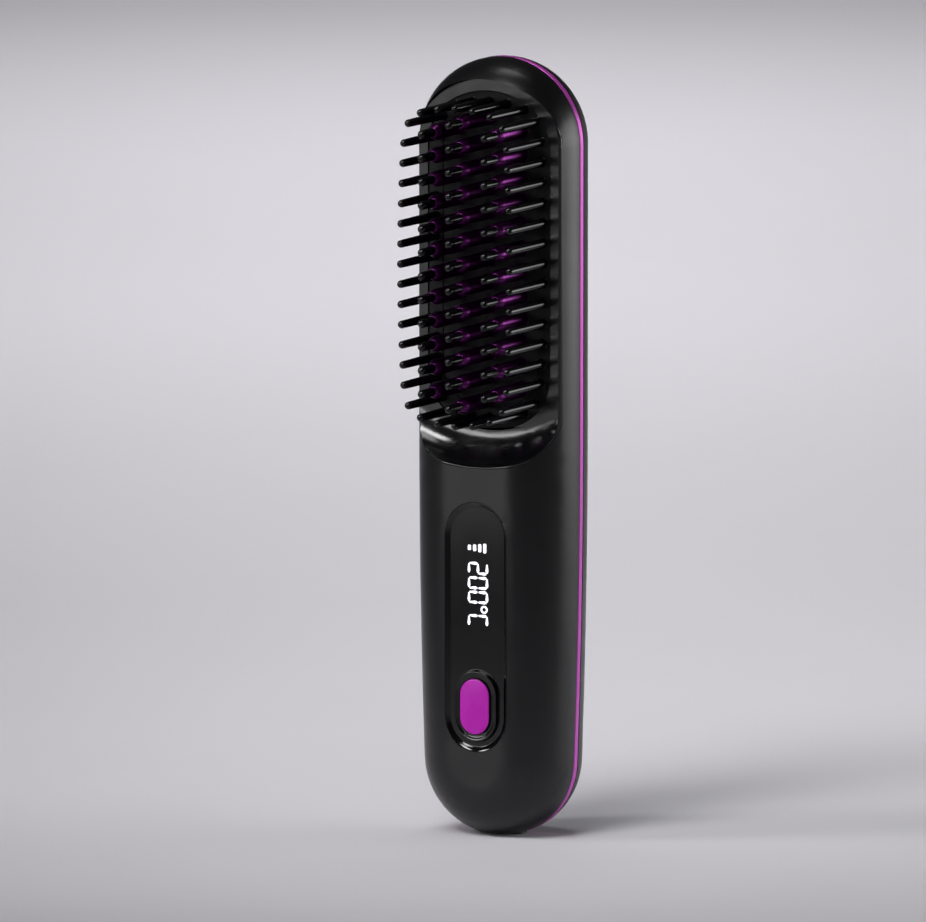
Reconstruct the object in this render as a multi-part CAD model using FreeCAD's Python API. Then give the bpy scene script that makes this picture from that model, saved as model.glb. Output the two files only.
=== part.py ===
"""Cordless heated hair straightening brush, as an assembly of separate pieces.

Millimetres. +X is the user's right when the teeth face them, +Y points to the back of the brush and
+Z up along its length. The teeth point to -Y. The origin is the middle of the charging port's mouth,
at the centre of the small flat that the brush stands on.
"""
import FreeCAD
import Part
import math
import os
from FreeCAD import Vector

os.makedirs("parts", exist_ok=True)

# ---------------------------------------------------------------- overall body
BODY_H = 205.0            # foot to crown
HEAD_W = 45.0             # widest, across the head
BODY_D = 31.2             # front face to back face
EDGE_R = 14.5             # round-over all the way round, front and back
GRIP_END_R = 20.9         # radius of the grip's lower end
TAPER_Z = 105.0           # the sides are straight above this height and taper gently below it
FOOT_CUT = 0.5            # how much of the round end the flat foot takes off
WALL = 1.8                # shell wall
STRIP_Y0 = 0.0            # front face of the accent strip
STRIP_W = 2.55            # width of the accent strip, front to back
STRIP_T = 1.8             # depth of the strip into the body
STRIP_EDGE = 0.5          # bevel on the strip's outer edges
CAVITY_BANDS = 4          # flat bands that follow the round-over inside the shells

# ---------------------------------------------------------------- head: bed, bezel and pocket
FLOOR_Y = -8.1            # face of the bezel's flat
BED_HALF_W = 17.9         # comb frame outline
BED_Z0 = 107.6
BED_Z1 = 196.6
BED_CORNER_R = 14.0
BED_END_R = 22.0
BEZEL_RIM = 3.6           # bezel width at the sides and the crown
CHIN_Z = 98.1             # lowest point of the bezel, on the front of the grip
CHIN_CORNER_R = 14.3
CHIN_END_R = 60.3
SCOOP_TOE_R = 40.0        # plan radius of the line where the scoop leaves the flat
SCOOP_R = 9.0             # section radius of the scoop
SCOOP_RIM = 0.45          # flat land left at the top of the scoop
LEDGE_Y = -7.0            # where the bezel rests on the front shell
BEZEL_GAP = 0.08          # between the bezel and the shell's pocket wall
BED_GAP = 0.12            # between the bed and the bezel
FRAME_SINK = 0.4          # comb frame below the bezel's flat
FRAME_T = 1.8
FRAME_LIP = 0.95          # comb frame's lip under the bezel
LEDGE_CLEAR = 0.15        # around the lip, inside the shell's ledge

# ---------------------------------------------------------------- heated teeth and bristles
WINDOW_HALF_W = 13.9      # opening of the comb frame, filled by the heating plate
WINDOW_Z0 = 112.95
WINDOW_Z1 = 192.55
WINDOW_CORNER_R = 10.0
WINDOW_END_R = 18.0
PLATE_GAP = 0.15          # heating plate in the window
PLATE_SINK = 0.2          # heating plate below the comb frame
PLATE_FLANGE = 1.2        # flange of the plate behind the frame
PLATE_FLANGE_T = 1.65
CENTRE_TEETH = 13         # three columns, the side ones staggered by half a pitch
SIDE_TEETH = 12
PIN_D = 4.2               # heated pin
PIN_SIDE_MARGIN = 2.6     # from the side columns to the window's edge
PIN_END_MARGIN = 0.5      # from the centre column's last teeth to the window's ends
PIN_END_D = 2.6           # at the end of its shoulder
PIN_SHOULDER = 1.6
PIN_END_Y = -22.4
CENTRE_EXTRA = 2.2        # the centre column stands this much further out
TIP_D = 2.3               # cool tip on each pin
TIP_LEN = 6.6
BRISTLE_ROOT_D = 2.4      # guard bristles
BRISTLE_TIP_D = 2.05
BRISTLE_END_Y = -27.8
RING_OUT = 0.15           # the ring's sides stand this far outside the middle of the comb frame's land
RING_END_IN = 2.85        # from the bed's ends to the ring's
RING_RISE = 0.25          # the ring stands this far above the bed's middle
RING_SIDE_BOW_R = 530.0   # the sides of the ring bow out very slightly
RING_END_BOW_R = 32.5
RING_SIDE_PITCH = 5.3
RING_SIDE_COUNT = 15
RING_END_PITCH = 5.1
RING_END_COUNT = 5
RING_CORNER_IN = 0.95     # the last bristle of each side stands in by this
TOOTH_FLATS = 8           # flats round each pin, tip, bristle and screw
NOSE_LEN = 0.4            # blunt nose of a tip or bristle, as a share of its diameter
NOSE_FLAT = 0.45

# ---------------------------------------------------------------- control panel and button
PANEL_W = 18.3
PANEL_Z0 = 23.3
PANEL_Z1 = 89.3
PANEL_BACK_Y = -13.4
PANEL_BEVEL_W = 1.2       # the panel's rim slopes in to its sunk face
PANEL_BEVEL_D = 1.0
PANEL_GAP = 0.08
PANEL_SEAT = 2.0          # ledge the panel rests on
PANEL_SEAT_T = 1.5
PANEL_END_SEAT = 6.4      # the ledge is longer at both ends
BUTTON_Z = 35.3
BUTTON_W = 8.6
BUTTON_L = 14.7
BUTTON_FACE_Y = -16.2
BUTTON_EDGE = 0.5         # bevel round the cap
BUTTON_GAP = 0.2          # in the panel's hole
BUTTON_TRAVEL = 0.6
BUTTON_FLANGE = 1.0
BUTTON_FLANGE_T = 0.8
BUTTON_BEHIND = 0.3       # between the flange and the panel's back
COLLAR_FACE_Y = -15.9     # ring that stands up from the panel round the button
COLLAR_REACH = 1.9        # beyond the button
COLLAR_FLARE = 0.3        # its foot is this much wider
COLLAR_RIM = 0.3          # level rim, inside which the ring dips towards the button
COLLAR_DIP = 0.4
COLLAR_LAND = 0.35        # level step left between the dip and the hole

# ---------------------------------------------------------------- electronics
CELL_D = 21.0             # 21700 lithium cell
CELL_L = 70.0
CELL_Z0 = 12.0
CELL_Y = 2.0
CELL_GAP = 0.1            # in its cradle
BOARD_FRONT_Y = -10.0
BOARD_T = 1.2
BOARD_HALF_W = 11.0
BOARD_Z0 = 24.0
BOARD_Z1 = 94.0
DISPLAY_Z0 = 53.0
DISPLAY_Z1 = 79.6
DISPLAY_W = 11.0
DISPLAY_BEHIND = 0.3      # between the display and the panel
SWITCH_SIZE = 6.0
SWITCH_H = 1.6
PLUNGER_D = 3.2
PLUNGER_IN = 0.4          # how deep the plunger's foot starts in the switch
PLUNGER_CLEAR = 0.3
USB_W = 8.94              # receptacle, outside
USB_H = 3.26
USB_L = 7.4
USB_WALL = 0.3
USB_SINK = 0.6            # mouth of the receptacle behind the foot
PORT_W = 13.0             # oval collar round the port
PORT_D = 7.4
PORT_H = 2.4
PORT_GAP = 0.1
CHARGE_BOARD_T = 1.0
SOCKET_X = 7.0            # sockets for the leads, on the back of the board
SOCKET_W = 6.0
SOCKET_L = 4.6
SOCKET_H = 1.6
SOCKET_TOP_Z = 90.8
HEATER_LEAD_D = 1.2
SENSOR_LEAD_D = 0.9
LEAD_BEND = 2.0

# ---------------------------------------------------------------- heater stack
HEATER_HALF_W = 10.0
HEATER_Z0 = 121.0
HEATER_Z1 = 184.0
HEATER_T = 2.4
MICA_T = 0.3
MICA_EXTRA = 0.8
CLAMP_T = 0.8
CLAMP_HALF_W = 8.0
CLAMP_END = 6.5           # clamp beyond the heater at each end
CLAMP_POST_X = 5.5
CLAMP_POST_IN = 2.8       # screw posts, from the clamp's ends
CLAMP_POST_D = 4.2
CARRIER_T = 2.0
CARRIER_EDGE = 0.6        # carrier inside the bezel's outline
CARRIER_HOLD = 0.6        # lip behind the heating plate
SENSOR_D = 1.8
SENSOR_L = 5.0
SENSOR_Z = 152.0
FUSE_D = 3.2
FUSE_L = 10.0
FUSE_Z = 134.0
SEAT_GAP = 0.05           # pieces that rest on a surface

# ---------------------------------------------------------------- fasteners
SCREW_D = 2.0
SCREW_HOLE_D = 2.3
SCREW_PILOT_D = 2.1
SCREW_HEAD_D = 3.8
SCREW_HEAD_H = 1.3
HEAD_SINK_D = 4.3
BOSS_D = 5.4
FRONT_BOSS_D = 6.2
CHIN_SCREW_X = 12.5       # shell screws under the bezel's chin
CHIN_SCREW_Z = 105.0
CHIN_BOSS_Y = -3.0        # where the two bosses meet
PANEL_SCREW_Z = 86.3      # shell screw under the top of the panel
PANEL_BOSS_Y = -7.5
BEZEL_SCREW_X = 6.0
BEZEL_SCREW_Z = 101.3
SMALL_SCREW_D = 1.6
SMALL_HEAD_D = 3.0
SMALL_HEAD_H = 1.1
BOARD_SCREW_X = 9.3
BOARD_SCREW_Z = (31.0, 74.0)
BOARD_BOSS_D = 3.6
CROWN_POST_X = 7.5        # posts of the rear shell that hold the carrier's top
CROWN_POST_Z = 194.8
CROWN_POST_D = 4.0
LIP_T = 1.0               # locating lip of the rear shell
LIP_GAP = 0.1
LIP_REACH = 2.0           # forward of the strip

# ---------------------------------------------------------------- derived places
FRONT_Y = -BODY_D / 2
BACK_Y = BODY_D / 2
TOOTH_SIDE_X = WINDOW_HALF_W - PIN_SIDE_MARGIN - PIN_D / 2
TOOTH_MID_Z = (WINDOW_Z0 + WINDOW_Z1) / 2
TOOTH_PITCH = (WINDOW_Z1 - WINDOW_Z0 - PIN_D - 2 * PIN_END_MARGIN) / (CENTRE_TEETH - 1)
RING_HALF_W = (WINDOW_HALF_W + BED_HALF_W) / 2 + RING_OUT
RING_HALF_H = (BED_Z1 - BED_Z0) / 2 - RING_END_IN
RING_MID_Z = (BED_Z0 + BED_Z1) / 2 + RING_RISE
STRIP_Y1 = STRIP_Y0 + STRIP_W
LEDGE_BACK_Y = LEDGE_Y + WALL
FRAME_Y = FLOOR_Y + FRAME_SINK
FRAME_BACK_Y = FRAME_Y + FRAME_T
PLATE_Y = FRAME_Y + PLATE_SINK
PLATE_STEP_Y = FRAME_BACK_Y + SEAT_GAP
PLATE_BACK_Y = PLATE_STEP_Y + PLATE_FLANGE_T
HEATER_BACK_Y = PLATE_BACK_Y + HEATER_T
CLAMP_Y = HEATER_BACK_Y + MICA_T
CLAMP_BACK_Y = CLAMP_Y + CLAMP_T
CARRIER_BACK_Y = LEDGE_BACK_Y + CARRIER_T
PANEL_FACE_Y = FRONT_Y + PANEL_BEVEL_D
PANEL_SEAT_Y = PANEL_BACK_Y + PANEL_SEAT_T
FLANGE_Y = PANEL_BACK_Y + BUTTON_BEHIND
FLANGE_BACK_Y = FLANGE_Y + BUTTON_FLANGE_T
BOARD_BACK_Y = BOARD_FRONT_Y + BOARD_T
SWITCH_TOP_Y = BOARD_FRONT_Y - SWITCH_H
CLAMP_Z0 = HEATER_Z0 - CLAMP_END
CLAMP_Z1 = HEATER_Z1 + CLAMP_END
FAR = 60.0                # further than any piece reaches, for cutters


# ================================================================ drawing helpers
def pt(x, y, z):
    return Vector(x, y, z)


def line(a, b):
    return Part.LineSegment(a, b).toShape()


def arc(centre_x, centre_z, radius, a0, a1, y):
    """Arc in the plane y, from angle a0 to a1 (radians, from +X towards +Z)."""
    def at(angle):
        return pt(centre_x + radius * math.cos(angle), y, centre_z + radius * math.sin(angle))
    return Part.Arc(at(a0), at((a0 + a1) / 2), at(a1)).toShape()


def prism(wire, y1):
    """Solid between the wire's own plane and the plane y1."""
    y0 = wire.BoundBox.YMin
    return Part.Face(wire).extrude(Vector(0, y1 - y0, 0))


def box(x0, x1, y0, y1, z0, z1):
    return Part.makeBox(x1 - x0, y1 - y0, z1 - z0, pt(x0, y0, z0))


def rod(x, z, d, y0, y1):
    """Round bar along Y."""
    return Part.makeCylinder(d / 2, y1 - y0, pt(x, y0, z), Vector(0, 1, 0))


def upright(x, y, d, z0, z1):
    """Round bar along Z."""
    return Part.makeCylinder(d / 2, z1 - z0, pt(x, y, z0), Vector(0, 0, 1))


def mirrored(shape):
    return shape.mirror(pt(0, 0, 0), Vector(1, 0, 0))


def both_sides(shape):
    return [shape, mirrored(shape)]


def save(name, *shapes):
    """Write one node: its solids, side by side, in one STEP file."""
    solids = [s for shape in shapes for s in shape.Solids]
    for s in solids:
        if not s.isValid():
            print("NOT VALID", name)
    out = solids[0] if len(solids) == 1 else Part.Compound(solids)
    out.exportStep("parts/%s.step" % name)
    print("%-18s %3d solid(s) %10.1f mm3" % (name, len(solids), sum(s.Volume for s in solids)))


# ================================================================ outlines
def plan_wire(inset, y):
    """Front view of the body, drawn `inset` inside the outer surface."""
    half = HEAD_W / 2
    crown_z = BODY_H - half
    drop = TAPER_Z + FOOT_CUT
    taper_r = (drop ** 2 + half ** 2 - 2 * GRIP_END_R * drop) / (2 * (half - GRIP_END_R))
    taper_x = half - taper_r
    end_z = GRIP_END_R - FOOT_CUT
    lean = math.atan2(TAPER_Z - end_z, -taper_x)
    r_top = half - inset
    r_side = taper_r - inset
    r_end = GRIP_END_R - inset
    foot = pt(r_end * math.cos(lean), y, end_z - r_end * math.sin(lean))
    hip = pt(half - inset, y, TAPER_Z)
    shoulder = pt(half - inset, y, crown_z)
    left = Vector(-1, 1, 1)

    def flip(p):
        return pt(p.x * left.x, p.y, p.z)

    edges = [
        arc(taper_x, TAPER_Z, r_side, -lean, 0, y),
        line(hip, shoulder),
        arc(0, crown_z, r_top, 0, math.pi, y),
        line(flip(shoulder), flip(hip)),
        arc(-taper_x, TAPER_Z, r_side, math.pi, math.pi + lean, y),
        arc(0, end_z, r_end, math.pi + lean, 2 * math.pi - lean, y),
    ]
    assert (foot - edges[0].Vertexes[0].Point).Length < 0.01
    return Part.Wire(edges)


def body(inset):
    """The whole body's outer form, drawn `inset` inside its surface, with no flat foot."""
    half_d = BODY_D / 2 - inset
    block = prism(plan_wire(inset, -half_d), half_d)
    rims = [e for e in block.Edges
            if abs(abs(e.BoundBox.YMin) - half_d) < 1e-4 and e.BoundBox.YLength < 1e-4]
    return block.makeFillet(EDGE_R - inset, rims)


def cavity_stations(inset):
    """(y, inset) where the flat bands inside the shells meet, from the seam to the back."""
    r = EDGE_R - inset
    half_d = BODY_D / 2 - inset
    angles = [math.pi / 2 * k / CAVITY_BANDS for k in range(CAVITY_BANDS + 1)]
    return [(half_d - r + r * math.sin(a), inset + r * (1 - math.cos(a))) for a in angles]


def cavity_inset(y):
    """How far the shell's inner wall stands inside the outline, y mm in front of or behind the seam."""
    stations = cavity_stations(WALL)
    for (y0, i0), (y1, i1) in zip(stations, stations[1:]):
        if y0 <= y <= y1:
            return i0 + (i1 - i0) * (y - y0) / (y1 - y0)
    return WALL


def inner_body(inset):
    """The form inside the shells: it follows the round-over in CAVITY_BANDS flat bands, never thinner."""
    back = cavity_stations(inset)
    stations = [(-y, i) for y, i in reversed(back)] + back
    return Part.makeLoft([plan_wire(i, y) for y, i in stations], True, True)


def plan_ring(inset, thickness, y0, y1):
    return prism(plan_wire(inset, y0), y1).cut(prism(plan_wire(inset + thickness, y0 - 1), y1 + 1))


def oval_wire(half_w, low, high, y):
    """Long rounded outline. low and high are (z, corner radius, end radius) of its two ends."""
    def end(z, corner_r, end_r, up):
        reach = math.sqrt((end_r - corner_r) ** 2 - (half_w - corner_r) ** 2)
        end_z = z - up * end_r
        corner_z = end_z + up * reach
        lean = math.atan2(half_w - corner_r, reach)
        return corner_z, end_z, lean

    z0, r0, e0 = low
    z1, r1, e1 = high
    corner0, end0, lean0 = end(z0, r0, e0, -1)
    corner1, end1, lean1 = end(z1, r1, e1, 1)
    quarter = math.pi / 2
    cx0 = half_w - r0
    cx1 = half_w - r1
    edges = [
        arc(0, end0, e0, -quarter - lean0, -quarter + lean0, y),
        arc(cx0, corner0, r0, -quarter + lean0, 0, y),
        line(pt(half_w, y, corner0), pt(half_w, y, corner1)),
        arc(cx1, corner1, r1, 0, quarter - lean1, y),
        arc(0, end1, e1, quarter - lean1, quarter + lean1, y),
        arc(-cx1, corner1, r1, quarter + lean1, 2 * quarter, y),
        line(pt(-half_w, y, corner1), pt(-half_w, y, corner0)),
        arc(-cx0, corner0, r0, 2 * quarter, 3 * quarter - lean0, y),
    ]
    return Part.Wire(edges)


def bed_prism(grow, y0, y1):
    low = (BED_Z0 - grow, BED_CORNER_R + grow, BED_END_R + grow)
    high = (BED_Z1 + grow, BED_CORNER_R + grow, BED_END_R + grow)
    return prism(oval_wire(BED_HALF_W + grow, low, high, y0), y1)


def bezel_prism(grow, y0, y1):
    rim = BEZEL_RIM + grow
    low = (CHIN_Z - grow, CHIN_CORNER_R + grow, CHIN_END_R + grow)
    high = (BED_Z1 + rim, BED_CORNER_R + rim, BED_END_R + rim)
    return prism(oval_wire(BED_HALF_W + rim, low, high, y0), y1)


def window_prism(grow, y0, y1):
    low = (WINDOW_Z0 - grow, WINDOW_CORNER_R + grow, WINDOW_END_R + grow)
    high = (WINDOW_Z1 + grow, WINDOW_CORNER_R + grow, WINDOW_END_R + grow)
    return prism(oval_wire(WINDOW_HALF_W + grow, low, high, y0), y1)


def capsule_wire(half_w, z0, z1, y):
    """Straight sides with a half circle at each end."""
    edges = [
        arc(0, z0 + half_w, half_w, -math.pi, 0, y),
        line(pt(half_w, y, z0 + half_w), pt(half_w, y, z1 - half_w)),
        arc(0, z1 - half_w, half_w, 0, math.pi, y),
        line(pt(-half_w, y, z1 - half_w), pt(-half_w, y, z0 + half_w)),
    ]
    return Part.Wire(edges)


def capsule(width, length, mid_z, y0, y1):
    return prism(capsule_wire(width / 2, mid_z - length / 2, mid_z + length / 2, y0), y1)


def panel_prism(grow, y0, y1):
    return prism(capsule_wire(PANEL_W / 2 + grow, PANEL_Z0 - grow, PANEL_Z1 + grow, y0), y1)


def flared(wire_at, y_wide, wide, y_narrow, narrow):
    """Solid between two outlines of one family: `wide` grown at y_wide, `narrow` grown at y_narrow."""
    return Part.makeLoft([wire_at(wide, y_wide), wire_at(narrow, y_narrow)], True, True)


def obround_z(width, depth, z0, z1):
    """Obround bar along Z, centred on the origin's axis, wider in X than in Y."""
    r = depth / 2
    reach = width / 2 - r
    bar = box(-reach, reach, -r, r, z0, z1)
    return bar.fuse([upright(-reach, 0, depth, z0, z1), upright(reach, 0, depth, z0, z1)]).removeSplitter()


# ================================================================ shared forms
OUTER = body(0).common(box(-FAR, FAR, -FAR, FAR, 0, BODY_H + FAR))
INNER = inner_body(WALL)
PORT_HOLE = obround_z(PORT_W + 2 * PORT_GAP, PORT_D + 2 * PORT_GAP, -FAR, PORT_H + PORT_GAP)


def inner_space(gap):
    """What fits inside the shells with `gap` to their walls."""
    return inner_body(WALL + gap)


def screw(x, z, seat_y, d, length, head_d, head_h):
    """Pan-head screw that goes in along +Y; its head rests on seat_y."""
    head = tooth(x, z, [(seat_y, head_d), (seat_y - head_h, head_d)])
    return head.fuse(tooth(x, z, [(seat_y + length, d), (seat_y, d)])).removeSplitter()


def screw_back(x, z, seat_y, d, length, head_d, head_h):
    """The same screw put in from behind, along -Y."""
    turned = screw(x, z, -seat_y, d, length, head_d, head_h)
    return turned.mirror(pt(0, 0, 0), Vector(0, 1, 0))


SHELL_SCREWS = [(-CHIN_SCREW_X, CHIN_SCREW_Z, LEDGE_Y, CHIN_BOSS_Y),
                (CHIN_SCREW_X, CHIN_SCREW_Z, LEDGE_Y, CHIN_BOSS_Y),
                (0, PANEL_SCREW_Z, PANEL_BACK_Y, PANEL_BOSS_Y)]
BEZEL_SCREWS = [(-BEZEL_SCREW_X, BEZEL_SCREW_Z), (BEZEL_SCREW_X, BEZEL_SCREW_Z)]
BOARD_SCREWS = [(sx * BOARD_SCREW_X, z) for sx in (-1, 1) for z in BOARD_SCREW_Z]


def seat_of(face_y):
    """The screw head's seat, sunk just below the face that covers it."""
    return face_y + SCREW_HEAD_H + SEAT_GAP


# ================================================================ shells
def front_shell():
    shell = OUTER.common(box(-FAR, FAR, -FAR, STRIP_Y0, -FAR, BODY_H + FAR))
    pocket_wall = bezel_prism(WALL, -FAR, LEDGE_BACK_Y)
    panel_pad = panel_prism(PANEL_SEAT, -FAR, PANEL_SEAT_Y)
    bosses = [rod(x, z, FRONT_BOSS_D, -FAR, meet) for x, z, face, meet in SHELL_SCREWS]
    bosses += [rod(x, z, BOARD_BOSS_D, -FAR, BOARD_FRONT_Y) for x, z in BOARD_SCREWS]
    cavity = INNER.common(box(-FAR, FAR, -FAR, STRIP_Y0 + 1, -FAR, BODY_H + FAR))
    cavity = cavity.cut([pocket_wall, panel_pad] + bosses)
    shell = shell.cut(cavity)
    cuts = [bezel_prism(0, -FAR, LEDGE_Y),
            bed_prism(FRAME_LIP + LEDGE_CLEAR, -FAR, LEDGE_BACK_Y + 1),
            panel_prism(PANEL_GAP, -FAR, PANEL_BACK_Y),
            prism(capsule_wire(PANEL_W / 2 - PANEL_SEAT, PANEL_Z0 + PANEL_SEAT,
                               PANEL_Z1 - PANEL_END_SEAT, -FAR), PANEL_SEAT_Y + 1),
            PORT_HOLE]
    for x, z, face, meet in SHELL_SCREWS:
        cuts.append(rod(x, z, HEAD_SINK_D, -FAR, seat_of(face)))
        cuts.append(rod(x, z, SCREW_HOLE_D, -FAR, meet + 1))
    for x, z in BEZEL_SCREWS:
        cuts.append(rod(x, z, SMALL_SCREW_D + 0.2, LEDGE_Y - 1, LEDGE_BACK_Y + 1))
    for x, z in BOARD_SCREWS:
        cuts.append(rod(x, z, SMALL_SCREW_D + 0.1, PANEL_SEAT_Y - 0.3, BOARD_FRONT_Y + 1))
    save("front_shell", shell.cut(cuts))


def rear_shell():
    behind = box(-FAR, FAR, STRIP_Y1, FAR, -FAR, BODY_H + FAR)
    shell = OUTER.common(behind).cut(INNER)
    lip_in = max(cavity_inset(LIP_REACH - STRIP_Y0), STRIP_T) + LIP_GAP
    lip = plan_ring(lip_in, LIP_T, STRIP_Y0 - LIP_REACH, STRIP_Y1)
    root = plan_ring(WALL / 2, lip_in + LIP_T - WALL / 2, STRIP_Y1, STRIP_Y1 + LIP_T)
    lip = lip.fuse(root)
    port_room = box(-PORT_W / 2 - 2, PORT_W / 2 + 2, -FAR, FAR, -FAR, PORT_H + 3)
    posts = [rod(x, z, BOSS_D, meet, FAR) for x, z, face, meet in SHELL_SCREWS]
    posts += [rod(sx * CROWN_POST_X, CROWN_POST_Z, CROWN_POST_D, CARRIER_BACK_Y, FAR) for sx in (-1, 1)]
    trimmed = [p.common(inner_body(WALL / 2)) for p in posts]
    shell = shell.fuse([lip.cut(port_room)] + trimmed)
    pilots = [rod(x, z, SCREW_PILOT_D, meet - 1, meet + 11) for x, z, face, meet in SHELL_SCREWS]
    save("rear_shell", shell.cut(pilots + [PORT_HOLE]).removeSplitter())


def accent_strip():
    band = plan_ring(0, STRIP_T, STRIP_Y0, STRIP_Y1)
    outer_edges = []
    for e in band.Edges:
        mid = e.valueAt((e.FirstParameter + e.LastParameter) / 2)
        flat = e.BoundBox.YLength < 1e-4
        probe = Part.Vertex(mid).distToShape(prism(plan_wire(STRIP_T / 2, -1), STRIP_Y1 + 1))[0]
        if flat and probe > 0.01:
            outer_edges.append(e)
    band = band.makeChamfer(STRIP_EDGE, outer_edges)
    above_foot = box(-FAR, FAR, -FAR, FAR, 0, BODY_H + FAR)
    save("accent_strip", band.common(above_foot).cut(PORT_HOLE))


def scoop():
    """Space in front of the bezel: flat over the bed, curling forward below it like the bowl of a spoon."""
    def rim(r, y):
        return pt(r, y, 0)
    mid = SCOOP_R * math.sin(math.pi / 4)
    edges = [
        line(rim(0, FLOOR_Y), rim(SCOOP_TOE_R, FLOOR_Y)),
        Part.Arc(rim(SCOOP_TOE_R, FLOOR_Y),
                 rim(SCOOP_TOE_R + mid, FLOOR_Y - SCOOP_R + mid),
                 rim(SCOOP_TOE_R + SCOOP_R, FLOOR_Y - SCOOP_R)).toShape(),
        line(rim(SCOOP_TOE_R + SCOOP_R, FLOOR_Y - SCOOP_R), rim(SCOOP_TOE_R + SCOOP_R, -FAR)),
        line(rim(SCOOP_TOE_R + SCOOP_R, -FAR), rim(0, -FAR)),
        line(rim(0, -FAR), rim(0, FLOOR_Y)),
    ]
    bowl = Part.Face(Part.Wire(edges)).revolve(pt(0, 0, 0), Vector(0, 1, 0), 360)
    rise = math.sqrt(SCOOP_R ** 2 - (SCOOP_R - (FLOOR_Y - FRONT_Y)) ** 2)
    axis_z = CHIN_Z + SCOOP_RIM + rise + SCOOP_TOE_R
    bowl.translate(pt(0, 0, axis_z))
    lower = bowl.common(box(-FAR, FAR, -2 * FAR, FAR, axis_z - 2 * FAR, axis_z))
    upper = box(-FAR, FAR, -2 * FAR, FLOOR_Y, axis_z, BODY_H + FAR)
    return lower.fuse(upper)


def head_bezel():
    ring = bezel_prism(-BEZEL_GAP, -FAR, LEDGE_Y).common(OUTER)
    ring = ring.cut([scoop(), bed_prism(BED_GAP, -FAR, LEDGE_Y + 1)])
    pilots = [rod(x, z, SMALL_SCREW_D + 0.1, LEDGE_Y - 2.6, LEDGE_Y + 1) for x, z in BEZEL_SCREWS]
    save("head_bezel", ring.cut(pilots))


def port_collar():
    collar = obround_z(PORT_W, PORT_D, 0, PORT_H)
    mouth = obround_z(USB_W + 2 * PORT_GAP, USB_H + 2 * PORT_GAP, -1, PORT_H + 1)
    save("port_collar", collar.cut(mouth))


# ================================================================ comb
def ring_places():
    """Root of each guard bristle, as (x, z)."""
    places = []
    half = RING_SIDE_COUNT // 2
    for k in range(-half, half + 1):
        dz = k * RING_SIDE_PITCH
        x = RING_HALF_W - dz ** 2 / (2 * RING_SIDE_BOW_R)
        if abs(k) == half:
            x -= RING_CORNER_IN
        places += [(x, RING_MID_Z + dz), (-x, RING_MID_Z + dz)]
    half = RING_END_COUNT // 2
    for k in range(-half, half + 1):
        x = k * RING_END_PITCH
        dz = RING_HALF_H - x ** 2 / (2 * RING_END_BOW_R)
        places += [(x, RING_MID_Z + dz), (x, RING_MID_Z - dz)]
    return places


def tooth_places():
    """Each heated tooth, as (x, z, how much further out it stands)."""
    places = []
    for k in range(CENTRE_TEETH):
        places.append((0, TOOTH_MID_Z + (k - (CENTRE_TEETH - 1) / 2) * TOOTH_PITCH, CENTRE_EXTRA))
    for k in range(SIDE_TEETH):
        z = TOOTH_MID_Z + (k - (SIDE_TEETH - 1) / 2) * TOOTH_PITCH
        places += [(TOOTH_SIDE_X, z, 0), (-TOOTH_SIDE_X, z, 0)]
    return places


def tooth(x, z, stations):
    """Flat-sided tooth along -Y through (y, diameter) stations, root first."""
    rings = []
    for y, d in stations:
        angles = [2 * math.pi * (k + 0.5) / TOOTH_FLATS for k in range(TOOTH_FLATS)]
        rings.append([pt(x + d / 2 * math.cos(a), y, z + d / 2 * math.sin(a)) for a in angles])
    outlines = [rings[0], rings[-1]]
    for near, far in zip(rings, rings[1:]):
        for k in range(TOOTH_FLATS):
            outlines.append([near[k - 1], near[k], far[k], far[k - 1]])
    faces = [Part.Face(Part.makePolygon(points + points[:1])) for points in outlines]
    solid = Part.makeSolid(Part.makeShell(faces))
    if solid.Volume < 0:
        solid.reverse()
    return solid


def comb_frame():
    plate = bed_prism(0, FRAME_Y, FRAME_BACK_Y)
    lip = bed_prism(FRAME_LIP, LEDGE_Y + SEAT_GAP, FRAME_BACK_Y)
    save("comb_frame", plate.fuse(lip).cut(window_prism(0, -FAR, 0)).removeSplitter())


def guard_bristles():
    stations = [(FRAME_Y, BRISTLE_ROOT_D), (BRISTLE_END_Y + NOSE_LEN * BRISTLE_TIP_D, BRISTLE_TIP_D),
                (BRISTLE_END_Y, NOSE_FLAT * BRISTLE_TIP_D)]
    save("guard_bristles", *[tooth(x, z, stations) for x, z in ring_places()])


def heating_pins():
    pins = []
    for x, z, extra in tooth_places():
        end = PIN_END_Y - extra
        stations = [(PLATE_Y, PIN_D), (end + PIN_SHOULDER, PIN_D), (end, PIN_END_D)]
        pins.append(tooth(x, z, stations))
    save("heating_pins", *pins)


def cool_tips():
    tips = []
    for x, z, extra in tooth_places():
        root = PIN_END_Y - extra
        end = root - TIP_LEN
        stations = [(root, TIP_D), (end + NOSE_LEN * TIP_D, TIP_D), (end, NOSE_FLAT * TIP_D)]
        tips.append(tooth(x, z, stations))
    save("cool_tips", *tips)


# ================================================================ heater stack
def clamp_posts():
    return [(sx * CLAMP_POST_X, z) for sx in (-1, 1)
            for z in (CLAMP_Z0 + CLAMP_POST_IN, CLAMP_Z1 - CLAMP_POST_IN)]


def heating_plate():
    face = window_prism(-PLATE_GAP, PLATE_Y, PLATE_STEP_Y)
    flange = window_prism(PLATE_FLANGE, PLATE_STEP_Y, PLATE_BACK_Y)
    holes = [rod(x, z, SCREW_PILOT_D, PLATE_BACK_Y - 2.4, PLATE_BACK_Y + 1) for x, z in clamp_posts()]
    save("heating_plate", face.fuse(flange).removeSplitter().cut(holes))


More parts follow.
